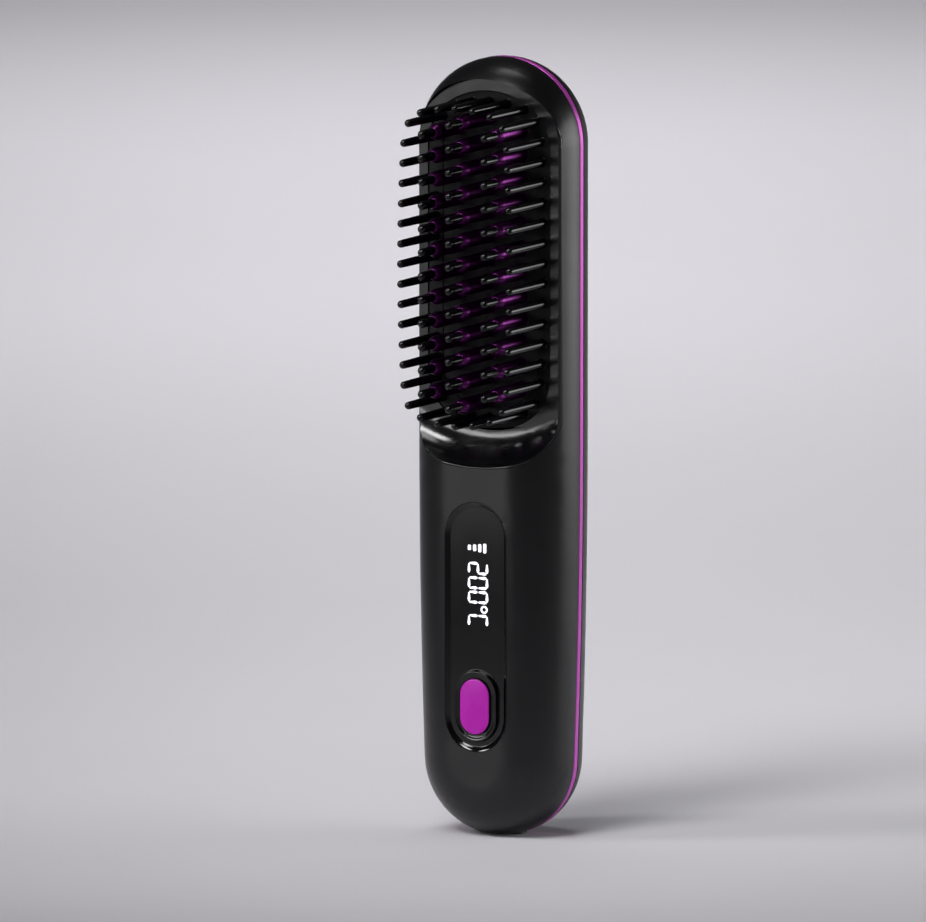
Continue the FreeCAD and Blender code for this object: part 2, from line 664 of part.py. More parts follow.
def heater_stack():
    save("heater_element", box(-HEATER_HALF_W, HEATER_HALF_W, PLATE_BACK_Y, HEATER_BACK_Y,
                               HEATER_Z0, HEATER_Z1))
    mica_w = HEATER_HALF_W + MICA_EXTRA
    save("mica_sheet", box(-mica_w, mica_w, HEATER_BACK_Y, CLAMP_Y,
                           HEATER_Z0 - MICA_EXTRA, HEATER_Z1 + MICA_EXTRA))
    clamp = box(-CLAMP_HALF_W, CLAMP_HALF_W, CLAMP_Y, CLAMP_BACK_Y, CLAMP_Z0, CLAMP_Z1)
    clamp = clamp.fuse([rod(x, z, CLAMP_POST_D, PLATE_BACK_Y, CLAMP_BACK_Y) for x, z in clamp_posts()])
    holes = [rod(x, z, SCREW_HOLE_D, PLATE_BACK_Y - 1, CLAMP_BACK_Y + 1) for x, z in clamp_posts()]
    save("heater_clamp", clamp.removeSplitter().cut(holes))
    reach = CLAMP_BACK_Y - PLATE_BACK_Y + 2.2
    save("clamp_screws", *[screw_back(x, z, CLAMP_BACK_Y, SCREW_D, reach, SCREW_HEAD_D, SCREW_HEAD_H)
                           for x, z in clamp_posts()])
    sensor_y = CLAMP_BACK_Y + SENSOR_D / 2 + SEAT_GAP
    save("thermistor", upright(0, sensor_y, SENSOR_D, SENSOR_Z, SENSOR_Z + SENSOR_L))
    fuse_y = CLAMP_BACK_Y + FUSE_D / 2 + SEAT_GAP
    save("thermal_fuse", upright(0, fuse_y, FUSE_D, FUSE_Z, FUSE_Z + FUSE_L))


def heater_carrier():
    front_y = FRAME_BACK_Y + SEAT_GAP
    ring = bezel_prism(-CARRIER_EDGE, LEDGE_BACK_Y, CARRIER_BACK_Y).common(inner_space(3 * SEAT_GAP))
    ring = ring.fuse(bed_prism(FRAME_LIP - SEAT_GAP, front_y, LEDGE_BACK_Y))
    cuts = [window_prism(PLATE_FLANGE + PLATE_GAP, front_y - 1, PLATE_BACK_Y),
            window_prism(-CARRIER_HOLD, PLATE_BACK_Y - 1, CARRIER_BACK_Y + 1)]
    cuts += [rod(x, z, FRONT_BOSS_D + 0.6, -FAR, FAR) for x, z, face, meet in SHELL_SCREWS]
    cuts += [rod(x, z, SMALL_SCREW_D + 0.2, -FAR, FAR) for x, z in BEZEL_SCREWS]
    save("heater_carrier", ring.cut(cuts).removeSplitter())
    length = CARRIER_BACK_Y - LEDGE_Y + 2.4
    save("bezel_screws", *[screw_back(x, z, CARRIER_BACK_Y, SMALL_SCREW_D, length,
                                      SMALL_HEAD_D, SMALL_HEAD_H) for x, z in BEZEL_SCREWS])


# ================================================================ control panel and button
def control_panel():
    def outline(grow, y):
        return capsule_wire(PANEL_W / 2 + grow, PANEL_Z0 - grow, PANEL_Z1 + grow, y)

    def round_button(grow, y):
        half_w, half_l = BUTTON_W / 2 + grow, BUTTON_L / 2 + grow
        return capsule_wire(half_w, BUTTON_Z - half_l, BUTTON_Z + half_l, y)

    slope = PANEL_BEVEL_W / PANEL_BEVEL_D
    sunk = flared(outline, FRONT_Y - 1, slope, PANEL_FACE_Y, -PANEL_BEVEL_W)
    collar = flared(round_button, PANEL_FACE_Y, COLLAR_REACH + COLLAR_FLARE, COLLAR_FACE_Y, COLLAR_REACH)
    dip = flared(round_button, COLLAR_FACE_Y, COLLAR_REACH - COLLAR_RIM,
                 COLLAR_FACE_Y + COLLAR_DIP, BUTTON_GAP + COLLAR_LAND)
    hole = prism(round_button(BUTTON_GAP, -FAR), 0)
    lens = panel_prism(0, -FAR, PANEL_BACK_Y).common(OUTER).cut(sunk)
    save("control_panel", lens.fuse(collar).removeSplitter().cut([dip, hole]))


def power_button():
    cap = capsule(BUTTON_W, BUTTON_L, BUTTON_Z, BUTTON_FACE_Y, FLANGE_Y)
    front = [e for e in cap.Edges
             if abs(e.BoundBox.YMin - BUTTON_FACE_Y) < 1e-4 and e.BoundBox.YLength < 1e-4]
    cap = cap.makeChamfer(BUTTON_EDGE, front)
    flange = capsule(BUTTON_W + 2 * BUTTON_FLANGE, BUTTON_L + 2 * BUTTON_FLANGE, BUTTON_Z,
                     FLANGE_Y, FLANGE_BACK_Y)
    save("power_button", cap.fuse(flange).removeSplitter())
    save("switch_plunger", rod(0, BUTTON_Z, PLUNGER_D, FLANGE_BACK_Y, SWITCH_TOP_Y + PLUNGER_IN))


def tact_switch():
    half = SWITCH_SIZE / 2
    case = box(-half, half, SWITCH_TOP_Y, BOARD_FRONT_Y, BUTTON_Z - half, BUTTON_Z + half)
    well_end_y = SWITCH_TOP_Y + PLUNGER_IN + BUTTON_TRAVEL + PLUNGER_CLEAR
    well = rod(0, BUTTON_Z, PLUNGER_D + 2 * PLUNGER_CLEAR, SWITCH_TOP_Y - 1, well_end_y)
    save("tact_switch", case.cut(well))


# ================================================================ electronics
def main_board():
    board = box(-BOARD_HALF_W, BOARD_HALF_W, BOARD_FRONT_Y, BOARD_BACK_Y, BOARD_Z0, BOARD_Z1)
    boss_hole = rod(0, PANEL_SCREW_Z, FRONT_BOSS_D + 0.6, -FAR, FAR)
    holes = [rod(x, z, SMALL_SCREW_D + 0.3, -FAR, FAR) for x, z in BOARD_SCREWS]
    corners = [e for e in board.Edges if e.BoundBox.YLength > BOARD_T - 0.01]
    save("main_board", board.makeFillet(2.0, corners).cut([boss_hole] + holes))
    length = BOARD_BACK_Y - PANEL_SEAT_Y - 0.1
    save("board_screws", *[screw_back(x, z, BOARD_BACK_Y, SMALL_SCREW_D, length,
                                      SMALL_HEAD_D, SMALL_HEAD_H) for x, z in BOARD_SCREWS])
    save("display_module", box(-DISPLAY_W / 2, DISPLAY_W / 2, PANEL_BACK_Y + DISPLAY_BEHIND,
                               BOARD_FRONT_Y, DISPLAY_Z0, DISPLAY_Z1))


def board_parts():
    """Controller, choke and two transistors in front, and the two sockets for the leads behind."""
    def part(x, z, w, h, tall):
        return box(x - w / 2, x + w / 2, BOARD_FRONT_Y - tall, BOARD_FRONT_Y, z - h / 2, z + h / 2)
    save("board_chips", part(0, 46.5, 7, 7, 1.0), part(-8.2, 60, 4, 6, 1.3), part(8.2, 60, 4, 6, 1.3))
    save("power_choke", part(0, 26.0, 4.5, 2.6, 1.5))
    socket = box(SOCKET_X - SOCKET_W / 2, SOCKET_X + SOCKET_W / 2, BOARD_BACK_Y, BOARD_BACK_Y + SOCKET_H,
                 SOCKET_TOP_Z - SOCKET_L, SOCKET_TOP_Z)
    save("lead_sockets", *both_sides(socket))


def battery():
    cell = upright(0, CELL_Y, CELL_D, CELL_Z0, CELL_Z0 + CELL_L)
    groove_z = CELL_Z0 + CELL_L - 3.2
    groove = upright(0, CELL_Y, CELL_D + 2, groove_z, groove_z + 1.2)
    groove = groove.cut(upright(0, CELL_Y, CELL_D - 0.9, groove_z - 1, groove_z + 3))
    save("battery_cell", cell.cut(groove))
    tab_w, tab_t, tab_drop = 7.0, 0.2, 4.0
    front = CELL_Y - CELL_D / 2
    tabs = []
    for z_face, up in ((CELL_Z0 + CELL_L, 1), (CELL_Z0, -1)):
        z_a, z_b = sorted((z_face, z_face + up * tab_t))
        tabs.append(box(-tab_w / 2, tab_w / 2, front + 1.0, CELL_Y + tab_drop, z_a, z_b))
    save("cell_tabs", *tabs)
    low, high = CELL_Z0 + 4, CELL_Z0 + CELL_L - 4
    block = box(-9, 9, CELL_Y + 3.5, BACK_Y, low, high).common(inner_space(SEAT_GAP))
    bore = upright(0, CELL_Y, CELL_D + 2 * CELL_GAP, low - 1, high + 1)
    span = (high - low - 4 * 5) / 3
    windows = [box(-FAR, FAR, CELL_Y + 8.2, FAR, low + 5 + k * (span + 5), low + 5 + k * (span + 5) + span)
               for k in range(3)]
    save("battery_cradle", block.cut([bore] + windows))
    pad = box(4.0, 7.5, BOARD_BACK_Y, front + 0.7, 36, 68)
    save("battery_pads", *both_sides(pad))


def charging_port():
    outside = obround_z(USB_W, USB_H, USB_SINK, USB_SINK + USB_L)
    inside = obround_z(USB_W - 2 * USB_WALL, USB_H - 2 * USB_WALL, USB_SINK - 1, USB_SINK + USB_L - 1)
    save("usb_receptacle", outside.cut(inside))
    tongue_top = USB_SINK + USB_L - 1
    save("usb_tongue", box(-3.35, 3.35, -0.35, 0.35, USB_SINK + 0.8, tongue_top))
    y0 = USB_H / 2 + SEAT_GAP
    save("charge_board", box(-7.0, 7.0, y0, y0 + CHARGE_BOARD_T, PORT_H + 0.6, CELL_Z0 - 0.5))


def lead(points, bend, d):
    """Insulated lead: straight runs joined by arcs of one radius, drawn with a six-sided section."""
    pts = [pt(*p) for p in points]
    edges = []
    start = pts[0]
    for a, b, c in zip(pts, pts[1:], pts[2:]):
        u = (b - a).normalize()
        v = (c - b).normalize()
        turn = u.getAngle(v)
        back = bend * math.tan(turn / 2)
        p_in = b - u * back
        p_out = b + v * back
        centre = b + (v - u).normalize() * (bend / math.cos(turn / 2))
        middle = centre + (b - centre).normalize() * bend
        edges += [line(start, p_in), Part.Arc(p_in, middle, p_out).toShape()]
        start = p_out
    edges.append(line(start, pts[-1]))
    path = Part.Wire(edges)
    along = (pts[1] - pts[0]).normalize()
    side = along.cross(Vector(1, 0, 0)) if abs(along.x) < 0.9 else along.cross(Vector(0, 1, 0))
    side.normalize()
    up = along.cross(side)
    ring = [pts[0] + side * (d / 2 * math.cos(k * math.pi / 3)) + up * (d / 2 * math.sin(k * math.pi / 3))
            for k in range(7)]
    return path.makePipeShell([Part.makePolygon(ring)], True, True)


def leads():
    """From the heater and the sensor down behind the carrier, then forward to the sockets."""
    socket_y = BOARD_BACK_Y + SOCKET_H / 2
    socket_z = SOCKET_TOP_Z + SEAT_GAP
    turn_z = SOCKET_TOP_Z + 2.6
    heater_y = (PLATE_BACK_Y + HEATER_BACK_Y) / 2
    lane_y = CARRIER_BACK_Y + HEATER_LEAD_D / 2 + 1.0
    root_x = HEATER_HALF_W - 1.0
    lane_x = (BEZEL_SCREW_X + SMALL_HEAD_D / 2 + CHIN_SCREW_X - FRONT_BOSS_D / 2) / 2
    heater = lead([(root_x, heater_y, HEATER_Z0), (root_x, heater_y, HEATER_Z0 - 2.2),
                   (root_x, lane_y, CLAMP_Z0 + 0.9), (lane_x, lane_y, CLAMP_Z0 - 4.0),
                   (lane_x, lane_y, CHIN_Z - 1.6), (SOCKET_X + 0.8, socket_y, turn_z),
                   (SOCKET_X + 0.8, socket_y, socket_z)], LEAD_BEND, HEATER_LEAD_D)
    save("heater_leads", *both_sides(heater))
    sensor_y = CLAMP_BACK_Y + SENSOR_D / 2 + SEAT_GAP
    pass_x = (FUSE_D / 2 + CLAMP_POST_X - SCREW_HEAD_D / 2) / 2 + 0.3
    save("sensor_lead", lead([(0, sensor_y, SENSOR_Z), (0, sensor_y, FUSE_Z + FUSE_L + 4.5),
                              (pass_x, sensor_y, FUSE_Z + FUSE_L + 1.0), (pass_x, sensor_y, CHIN_Z - 0.5),
                              (SOCKET_X - 1.6, socket_y, turn_z), (SOCKET_X - 1.6, socket_y, socket_z)],
                             LEAD_BEND, SENSOR_LEAD_D))


front_shell()
rear_shell()
accent_strip()
head_bezel()
port_collar()
comb_frame()
guard_bristles()
heating_plate()
heating_pins()
cool_tips()
heater_stack()
heater_carrier()
control_panel()
power_button()
tact_switch()
main_board()
board_parts()
battery()
charging_port()
leads()
save("shell_screws", *[screw(x, z, seat_of(face), SCREW_D, meet + 9 - seat_of(face),
                             SCREW_HEAD_D, SCREW_HEAD_H) for x, z, face, meet in SHELL_SCREWS])
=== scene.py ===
"""Looks of a cordless heated straightening brush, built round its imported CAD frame.

Metres, +Z up, teeth to -Y. Sizes under a heading that says mm are in millimetres.
"""
import bpy
import math
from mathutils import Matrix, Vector


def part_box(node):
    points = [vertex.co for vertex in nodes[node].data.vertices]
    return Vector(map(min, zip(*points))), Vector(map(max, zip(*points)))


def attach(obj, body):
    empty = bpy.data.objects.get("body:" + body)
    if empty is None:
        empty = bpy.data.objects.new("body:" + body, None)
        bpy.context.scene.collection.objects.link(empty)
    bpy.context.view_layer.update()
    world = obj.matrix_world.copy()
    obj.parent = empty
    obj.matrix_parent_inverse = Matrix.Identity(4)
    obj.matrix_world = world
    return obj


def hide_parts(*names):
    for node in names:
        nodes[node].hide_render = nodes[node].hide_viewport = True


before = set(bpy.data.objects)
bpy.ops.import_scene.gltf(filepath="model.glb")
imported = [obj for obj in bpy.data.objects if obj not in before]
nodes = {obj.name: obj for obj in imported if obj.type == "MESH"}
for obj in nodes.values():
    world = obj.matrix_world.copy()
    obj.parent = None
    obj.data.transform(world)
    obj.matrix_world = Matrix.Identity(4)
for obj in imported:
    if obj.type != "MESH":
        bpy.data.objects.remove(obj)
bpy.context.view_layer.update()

MM = 0.001

# ---------------------------------------------------------------- camera
VIEW_AZIMUTH = math.radians(28.1)     # the camera stands to the right of straight ahead
VIEW_ELEVATION = math.radians(8.1)
VIEW_DISTANCE = 5000 * MM
LENS_MM = 742.5
SENSOR_MM = 36.0
BRUSH_MIDDLE = Vector((0, 0, 102.5 * MM))
AIM_LEFT = 10.6 * MM                  # how far the camera aims left of and below the brush's middle
AIM_DOWN = 4.24 * MM
CLIP_NEAR = 0.1
CLIP_FAR = 100.0

# ---------------------------------------------------------------- patterns
NOISE_LOW = 0.35          # a soft random pattern lies between these two nearly everywhere
NOISE_HIGH = 0.65

# ---------------------------------------------------------------- moulded edges
MERGE_MM = 0.001          # corners nearer than this are one
FLAT_ANGLE = 0.5          # faces that turn less than this many degrees become one before edges are rounded
EDGE_ANGLE = 35           # an edge that turns more than this is rounded
EDGE_SEGMENTS = 2
SMOOTH_ANGLE = 32         # an edge of a CAD shape that turns less than this is shaded smooth
NEW_SMOOTH_ANGLE = 40     # the same for a piece modelled anew

# ---------------------------------------------------------------- teeth, mm
BRISTLE_ROOT_R = 1.2
BRISTLE_TIP_R = 1.025
PIN_R = 2.1
PIN_SHOULDER = 1.6
PIN_END_R = 1.3
TIP_R = 1.15
ROOT_FILLET = 0.15
SHOULDER_FOOT = ((-0.35, 0), (-0.1, -0.04), (0.2, -0.16))     # from the shoulder's foot, change of PIN_R
SHOULDER_TOP = ((-0.3, 0.18), (-0.1, 0.03), (0, -0.12))       # from the pin's end, change of PIN_END_R
COLLAR_PROUD = 0.08       # low collar where a tip sits on its pin
COLLAR_L = 0.6
COLLAR_SLOPE = 0.1
THIN_SIDES = 16           # round a bristle or tip
PIN_SIDES = 24
DOME_RINGS = 5
DOME_POLE = 0.4           # share of a ring's step that is left flat at the pole

# ---------------------------------------------------------------- key, mm
KEY_FLANGE = 1.0
KEY_FLANGE_T = 0.8
KEY_ROUND = 0.35
KEY_ROUND_STEPS = 6
KEY_SIDES = 96
KEY_FACE_TILT = -0.55     # faces that turn away from the front further than this get the near-black painted shade

# ---------------------------------------------------------------- display, mm
# It reads downwards, with its top to +X.
PANEL_FACE_Y = -14.6
GLOW_PROUD = 0.02
GLOW_MID_X = 0.25
DIGIT_H = 6.05
DIGIT_W = 3.4
STROKE = 0.72
SEGMENT_GAP = 0.14
# middle z and lit segments of 2, 0, 0 and C, named as on a seven-segment display
GLYPHS = ((71.7, "abged"), (67.85, "abcdef"), (64.07, "abcdef"), (57.85, "afed"))
DEGREE = (2.08, 60.9, 1.05, 0.5)      # x, z, outer radius and stroke of the degree sign's ring
RING_SIDES = 32
BAR_Z = 77.1
BAR_CORNER = 0.35
BAR_SIDES = 24
# x, width and length of each bar
LEVEL_BARS = ((-2.3, 0.95, 1.4), (-0.76, 0.95, 1.75), (0.77, 0.95, 2.15), (2.25, 0.95, 2.55))

# ---------------------------------------------------------------- stage
STAGE_COLOUR = "DAD8DE"
FLOOR_RADIUS = 40.0
FLOOR_SIDES = 96
FLOOR_VIEW_MIDDLE = Vector((-0.47, 0.88, 0))    # middle of the floor that shows behind the brush
BACKDROP_NEAR = 0.35      # metres from the brush between which the floor turns into the backdrop
BACKDROP_FAR = 1.1
BACKDROP_LEVEL = 0.3
BACKDROP_LOW = 0.06       # heights in the sky, of 1 overhead, between which it fades into the room
BACKDROP_HIGH = 0.16
ROOM_LEVEL = 0.045
# name, azimuth and elevation in degrees, distance, width and height in metres, radiance, spread, aim
LAMPS = (
    ("key", -12, 48, 1.2, 0.5, 0.25, 26, 36, BRUSH_MIDDLE),
    ("key_left", -53, 31, 1.2, 0.27, 0.29, 24, 36, BRUSH_MIDDLE),
    ("top_front", 5, 64, 1.3, 0.5, 0.4, 9, 40, BRUSH_MIDDLE),
    ("front_left", -28, 6, 1.3, 0.55, 0.3, 12, 30, BRUSH_MIDDLE),
    ("front_low", -28, -7, 0.6, 0.3, 0.06, 0.8, 170, BRUSH_MIDDLE),
    ("right_behind", 127, 5, 0.9, 0.75, 0.5, 4, 120, BRUSH_MIDDLE),
    ("floor_behind", 28.1, 89.9, 1.2, 0.5, 1.6, 18, 44, FLOOR_VIEW_MIDDLE),
)


def add_camera():
    """Camera far off with a long lens, so that the brush stands nearly without perspective."""
    back = Vector((math.sin(VIEW_AZIMUTH) * math.cos(VIEW_ELEVATION),
                   -math.cos(VIEW_AZIMUTH) * math.cos(VIEW_ELEVATION),
                   math.sin(VIEW_ELEVATION)))
    right = Vector((math.cos(VIEW_AZIMUTH), math.sin(VIEW_AZIMUTH), 0))
    up = back.cross(right)
    stand = BRUSH_MIDDLE + back * VIEW_DISTANCE
    aim = BRUSH_MIDDLE - right * AIM_LEFT - up * AIM_DOWN
    data = bpy.data.cameras.new("camera")
    data.lens = LENS_MM
    data.sensor_width = SENSOR_MM
    data.sensor_fit = "HORIZONTAL"
    data.clip_start = CLIP_NEAR
    data.clip_end = CLIP_FAR
    camera = bpy.data.objects.new("camera", data)
    camera.location = stand
    camera.rotation_euler = (aim - stand).to_track_quat("-Z", "Y").to_euler()
    bpy.context.scene.collection.objects.link(camera)
    bpy.context.scene.camera = camera


# ---------------------------------------------------------------- material tools
def linear(hex_colour):
    """An sRGB hex colour, such as "A81FA0", as linear RGBA."""
    parts = [int(hex_colour[i:i + 2], 16) / 255 for i in (0, 2, 4)]
    return tuple(c / 12.92 if c <= 0.04045 else ((c + 0.055) / 1.055) ** 2.4 for c in parts) + (1.0,)


def add(tree, kind, settings=None, links=None):
    """Add one node. Names in capitals and numbers are its sockets, other names its own settings."""
    node = tree.nodes.new("ShaderNode" + kind)
    for name, value in (settings or {}).items():
        if isinstance(name, int) or name[0].isupper():
            node.inputs[name].default_value = value
        else:
            setattr(node, name, value)
    for name, source in (links or {}).items():
        tree.links.new(source, node.inputs[name])
    return node


def new_material(name, colour, roughness, **sockets):
    """A Principled material, with its tree, shader and Object coordinates for the patterns."""
    made = bpy.data.materials.new(name)
    made.use_nodes = True
    tree = made.node_tree
    shader = tree.nodes["Principled BSDF"]
    shader.inputs["Base Color"].default_value = linear(colour)
    shader.inputs["Roughness"].default_value = roughness
    for socket, value in sockets.items():
        shader.inputs[socket.replace("_", " ")].default_value = value
    place = add(tree, "TexCoord").outputs["Object"]
    return made, tree, shader, place


def pattern(tree, place, size_mm, detail=2.0):
    """Soft random pattern whose patches are about size_mm across."""
    noise = add(tree, "TexNoise", {"Scale": 1 / (size_mm * MM), "Detail": detail}, {"Vector": place})
    return noise.outputs["Fac"]


def tint(tree, shader, source, dark, light):
    """Colour that wanders between two close tones."""
    ramp = add(tree, "ValToRGB", links={"Fac": source})
    ramp.color_ramp.elements[0].position = NOISE_LOW
    ramp.color_ramp.elements[1].position = NOISE_HIGH
    ramp.color_ramp.elements[0].color = linear(dark)
    ramp.color_ramp.elements[1].color = linear(light)
    tree.links.new(ramp.outputs["Color"], shader.inputs["Base Color"])


def gloss(tree, shader, source, low, high):
    """Roughness that wanders between low and high."""
    spread = add(tree, "MapRange", {"From Min": NOISE_LOW, "From Max": NOISE_HIGH,
                                    "To Min": low, "To Max": high}, {"Value": source})
    tree.links.new(spread.outputs["Result"], shader.inputs["Roughness"])


def relief(tree, shader, source, depth_mm):
    """Bump of that depth."""
    bump = add(tree, "Bump", {"Strength": 1.0, "Distance": depth_mm * MM}, {"Height": source})
    tree.links.new(bump.outputs["Normal"], shader.inputs["Normal"])


# ---------------------------------------------------------------- finishes
def satin_abs():
    """Black ABS from a finely etched mould: a soft broad sheen with no mirror image in it."""
    made, tree, shader, place = new_material("satin_abs", "09090B", 0.3, IOR=1.52, Specular_IOR_Level=0.42)
    tint(tree, shader, pattern(tree, place, 14), "08080A", "0A0A0C")
    gloss(tree, shader, pattern(tree, place, 9, 3), 0.28, 0.33)
    # the mould's etch is about 0.05 mm, drawn four times as coarse so that it shows
    relief(tree, shader, pattern(tree, place, 0.2, 1), 0.001)
    return made


def polished_abs():
    """Black ABS from a polished mould: dark and wet-looking, with slight waves where the wall shrank."""
    made, tree, shader, place = new_material("polished_abs", "0C0C0E", 0.12, IOR=1.53)
    tint(tree, shader, pattern(tree, place, 20), "0A0A0C", "0E0E10")
    gloss(tree, shader, pattern(tree, place, 7, 4), 0.17, 0.21)
    relief(tree, shader, pattern(tree, place, 6, 1), 0.003)
    return made


def metallic_lacquer():
    """Purple flake lacquer under a clear coat: a bright metal sheen with a hard gloss on top."""
    made, tree, shader, place = new_material("metallic_lacquer", "D056C6", 0.3, Metallic=0.5,
                                             Coat_Weight=0.15, Coat_Roughness=0.15)
    tint(tree, shader, pattern(tree, place, 0.2, 1), "CE54C2", "D258CA")
    gloss(tree, shader, pattern(tree, place, 5, 3), 0.28, 0.33)
    return made


def glass_filled_nylon(name, colour, roughness):
    """Heat-resistant nylon with glass fibre: matt, with a faint mottle from the fibres near the skin."""
    made, tree, shader, place = new_material(name, colour, roughness, IOR=1.53, Specular_IOR_Level=0.2)
    gloss(tree, shader, pattern(tree, place, 2.5, 4), roughness - 0.06, roughness + 0.06)
    relief(tree, shader, pattern(tree, place, 0.5, 3), 0.004)
    return made


def bristle_nylon():
    """Solid black nylon, smooth from the mould: a thin line of light along each bristle, a dot on its end."""
    made, tree, shader, place = new_material("bristle_nylon", "08080A", 0.2, IOR=1.53,
                                             Specular_IOR_Level=0.35)
    tint(tree, shader, pattern(tree, place, 3), "060607", "0A0A0C")
    gloss(tree, shader, pattern(tree, place, 1.5, 3), 0.13, 0.19)
    return made


def ceramic_coat(name, dark, light, roughness):
    """Sprayed ceramic coating on aluminium: dull, with a fine pebbled skin."""
    made, tree, shader, place = new_material(name, light, roughness, IOR=1.6, Specular_IOR_Level=0.2)
    tint(tree, shader, pattern(tree, place, 1.2, 3), dark, light)
    gloss(tree, shader, pattern(tree, place, 2, 3), roughness - 0.05, roughness + 0.05)
    relief(tree, shader, pattern(tree, place, 0.3, 2), 0.003)
    return made


def smoked_acrylic():
    """Smoked acrylic lens over the display, black until it is lit, with a polished face."""
    made, tree, shader, place = new_material("smoked_acrylic", "040405", 0.06, IOR=1.49)
    gloss(tree, shader, pattern(tree, place, 6, 4), 0.09, 0.12)
    relief(tree, shader, pattern(tree, place, 9, 1), 0.003)
    return made


def pin_coat():
    """Purple anodised and ceramic-coated aluminium: a deep violet metal, whose highlights are violet too."""
    made, tree, shader, place = new_material("pin_coat", "702E72", 0.27, Metallic=1.0)
    tint(tree, shader, pattern(tree, place, 4, 1), "6C2C6E", "743076")
    gloss(tree, shader, pattern(tree, place, 3, 2), 0.28, 0.32)
    return made


def white_glow():
    """White LED light through a diffusing film, a touch uneven as such film is."""
    made, tree, shader, place = new_material("white_glow", "E8E8EC", 0.4, Emission_Strength=1.0)
    shader.inputs["Emission Color"].default_value = linear("F6F4FF")
    level = add(tree, "MapRange", {"From Min": NOISE_LOW, "From Max": NOISE_HIGH,
                                   "To Min": 0.9, "To Max": 1.05}, {"Value": pattern(tree, place, 1.5, 2)})
    tree.links.new(level.outputs["Result"], shader.inputs["Emission Strength"])
    gloss(tree, shader, pattern(tree, place, 0.6, 2), 0.35, 0.45)
    return made


def purple_key():
    """Glossy purple polycarbonate key, coloured right through."""
    made, tree, shader, place = new_material("purple_key", "AE12A6", 0.22, IOR=1.58, Specular_IOR_Level=0.25)
    tint(tree, shader, pattern(tree, place, 5, 2), "AA0EA2", "B216AA")
    gloss(tree, shader, pattern(tree, place, 3, 3), 0.2, 0.26)
    return made


def key_flank_painted_shade():
    """Near-black ABS-like finish on the key's flanks, painted shade that stands in for the shade falling on
    them: a dark edge round the purple.
    """
    made, tree, shader, place = new_material("key_flank_painted_shade", "060607", 0.4, IOR=1.52)
    gloss(tree, shader, pattern(tree, place, 2, 3), 0.36, 0.46)
    return made


def bare_metal(name, colour, roughness, grain_mm):
    """Bare or plated metal with a fine grain: bright, with a slightly broken mirror image."""
    made, tree, shader, place = new_material(name, colour, roughness, Metallic=1.0)
    gloss(tree, shader, pattern(tree, place, grain_mm * 4, 3), roughness - 0.08, roughness + 0.08)
    relief(tree, shader, pattern(tree, place, grain_mm, 2), 0.002)
    return made


def moulded(name, colour, roughness, grain_mm=0.5):
    """Plain moulded, pressed or coated stuff: one even colour with a fine grain."""
    made, tree, shader, place = new_material(name, colour, roughness)
    gloss(tree, shader, pattern(tree, place, grain_mm * 6, 3), roughness - 0.05, roughness + 0.05)
    relief(tree, shader, pattern(tree, place, grain_mm, 2), 0.003)
    return made


def solder_mask():
    """Green solder mask over copper tracks, which show as slightly raised, lighter lines."""
    made, tree, shader, place = new_material("solder_mask", "0B5A2A", 0.3, Coat_Weight=0.4)
    tracks = add(tree, "TexBrick", {"Scale": 1 / (6 * MM), "Mortar Size": 0.03}, {"Vector": place})
    tint(tree, shader, tracks.outputs["Fac"], "0B5A2A", "12773A")
    relief(tree, shader, tracks.outputs["Fac"], 0.03)
    return made


def dress_nodes(bristles, pins, key, bezel, lens, satin, lacquer):
    """Give each CAD node its finish."""
    steel = bare_metal("zinc_plated_steel", "A9ABB0", 0.3, 0.3)
    nylon = glass_filled_nylon("glass_filled_nylon", "050506", 0.6)
    mask = solder_mask()
    finishes = {
        "front_shell": satin,
        "rear_shell": satin,
        "accent_strip": lacquer,
        "head_bezel": bezel,
        "port_collar": moulded("port_abs", "121214", 0.4),
        "comb_frame": nylon,
        "guard_bristles": bristles,
        "heating_plate": ceramic_coat("dark_ceramic", "070708", "0A0A0B", 0.65),
        "heating_pins": pins,
        "cool_tips": bristles,
        "heater_element": moulded("alumina", "DAD8D0", 0.6),
        "mica_sheet": moulded("mica", "B09A6C", 0.35, 2),
        "heater_clamp": steel,
        "clamp_screws": steel,
        "thermistor": moulded("sensor_glass", "8A4A20", 0.15),
        "thermal_fuse": steel,
        "heater_carrier": glass_filled_nylon("carrier_nylon", "242426", 0.55),
        "bezel_screws": steel,
        "control_panel": lens,
        "power_button": key,
        "switch_plunger": moulded("acetal", "D8D8D0", 0.3),
        "tact_switch": moulded("switch_case", "1A1A1C", 0.4),
        "main_board": mask,
        "board_screws": steel,
        "display_module": moulded("led_block", "1C1C20", 0.35),
        "board_chips": moulded("epoxy_package", "141414", 0.5),
        "power_choke": moulded("ferrite", "2A2A2C", 0.6),
        "lead_sockets": moulded("socket_nylon", "E4E2D8", 0.4),
        "battery_cell": moulded("cell_sleeve", "1F5FA8", 0.3),
        "cell_tabs": bare_metal("nickel", "B8B2A4", 0.3, 0.4),
        "battery_cradle": moulded("cradle_abs", "1C1C1E", 0.5),
        "battery_pads": moulded("foam", "18181A", 0.9, 0.8),
        "usb_receptacle": bare_metal("stamped_steel", "A8A8AC", 0.25, 0.2),
        "usb_tongue": moulded("tongue_resin", "161618", 0.4),
        "charge_board": mask,
        "heater_leads": moulded("silicone_white", "D8D4C8", 0.5),
        "sensor_lead": moulded("silicone_red", "A01C18", 0.5),
        "shell_screws": steel,
    }
    for node, finish in finishes.items():
        if not nodes[node].material_slots:
            nodes[node].data.materials.append(finish)
        for slot in nodes[node].material_slots:
            slot.material = finish


# ---------------------------------------------------------------- modelling tools
def clear_selection():
    bpy.ops.object.select_all(action="DESELECT")


def start_edit():
    bpy.ops.object.mode_set(mode="EDIT")
    bpy.ops.mesh.select_all(action="SELECT")


def own_copy(source):
    """Linked copy with its own mesh, selected and active."""
    made = source.copy()
    made.data = source.data.copy()
    bpy.context.scene.collection.objects.link(made)
    made.select_set(True)
    bpy.context.view_layer.objects.active = made
    return made


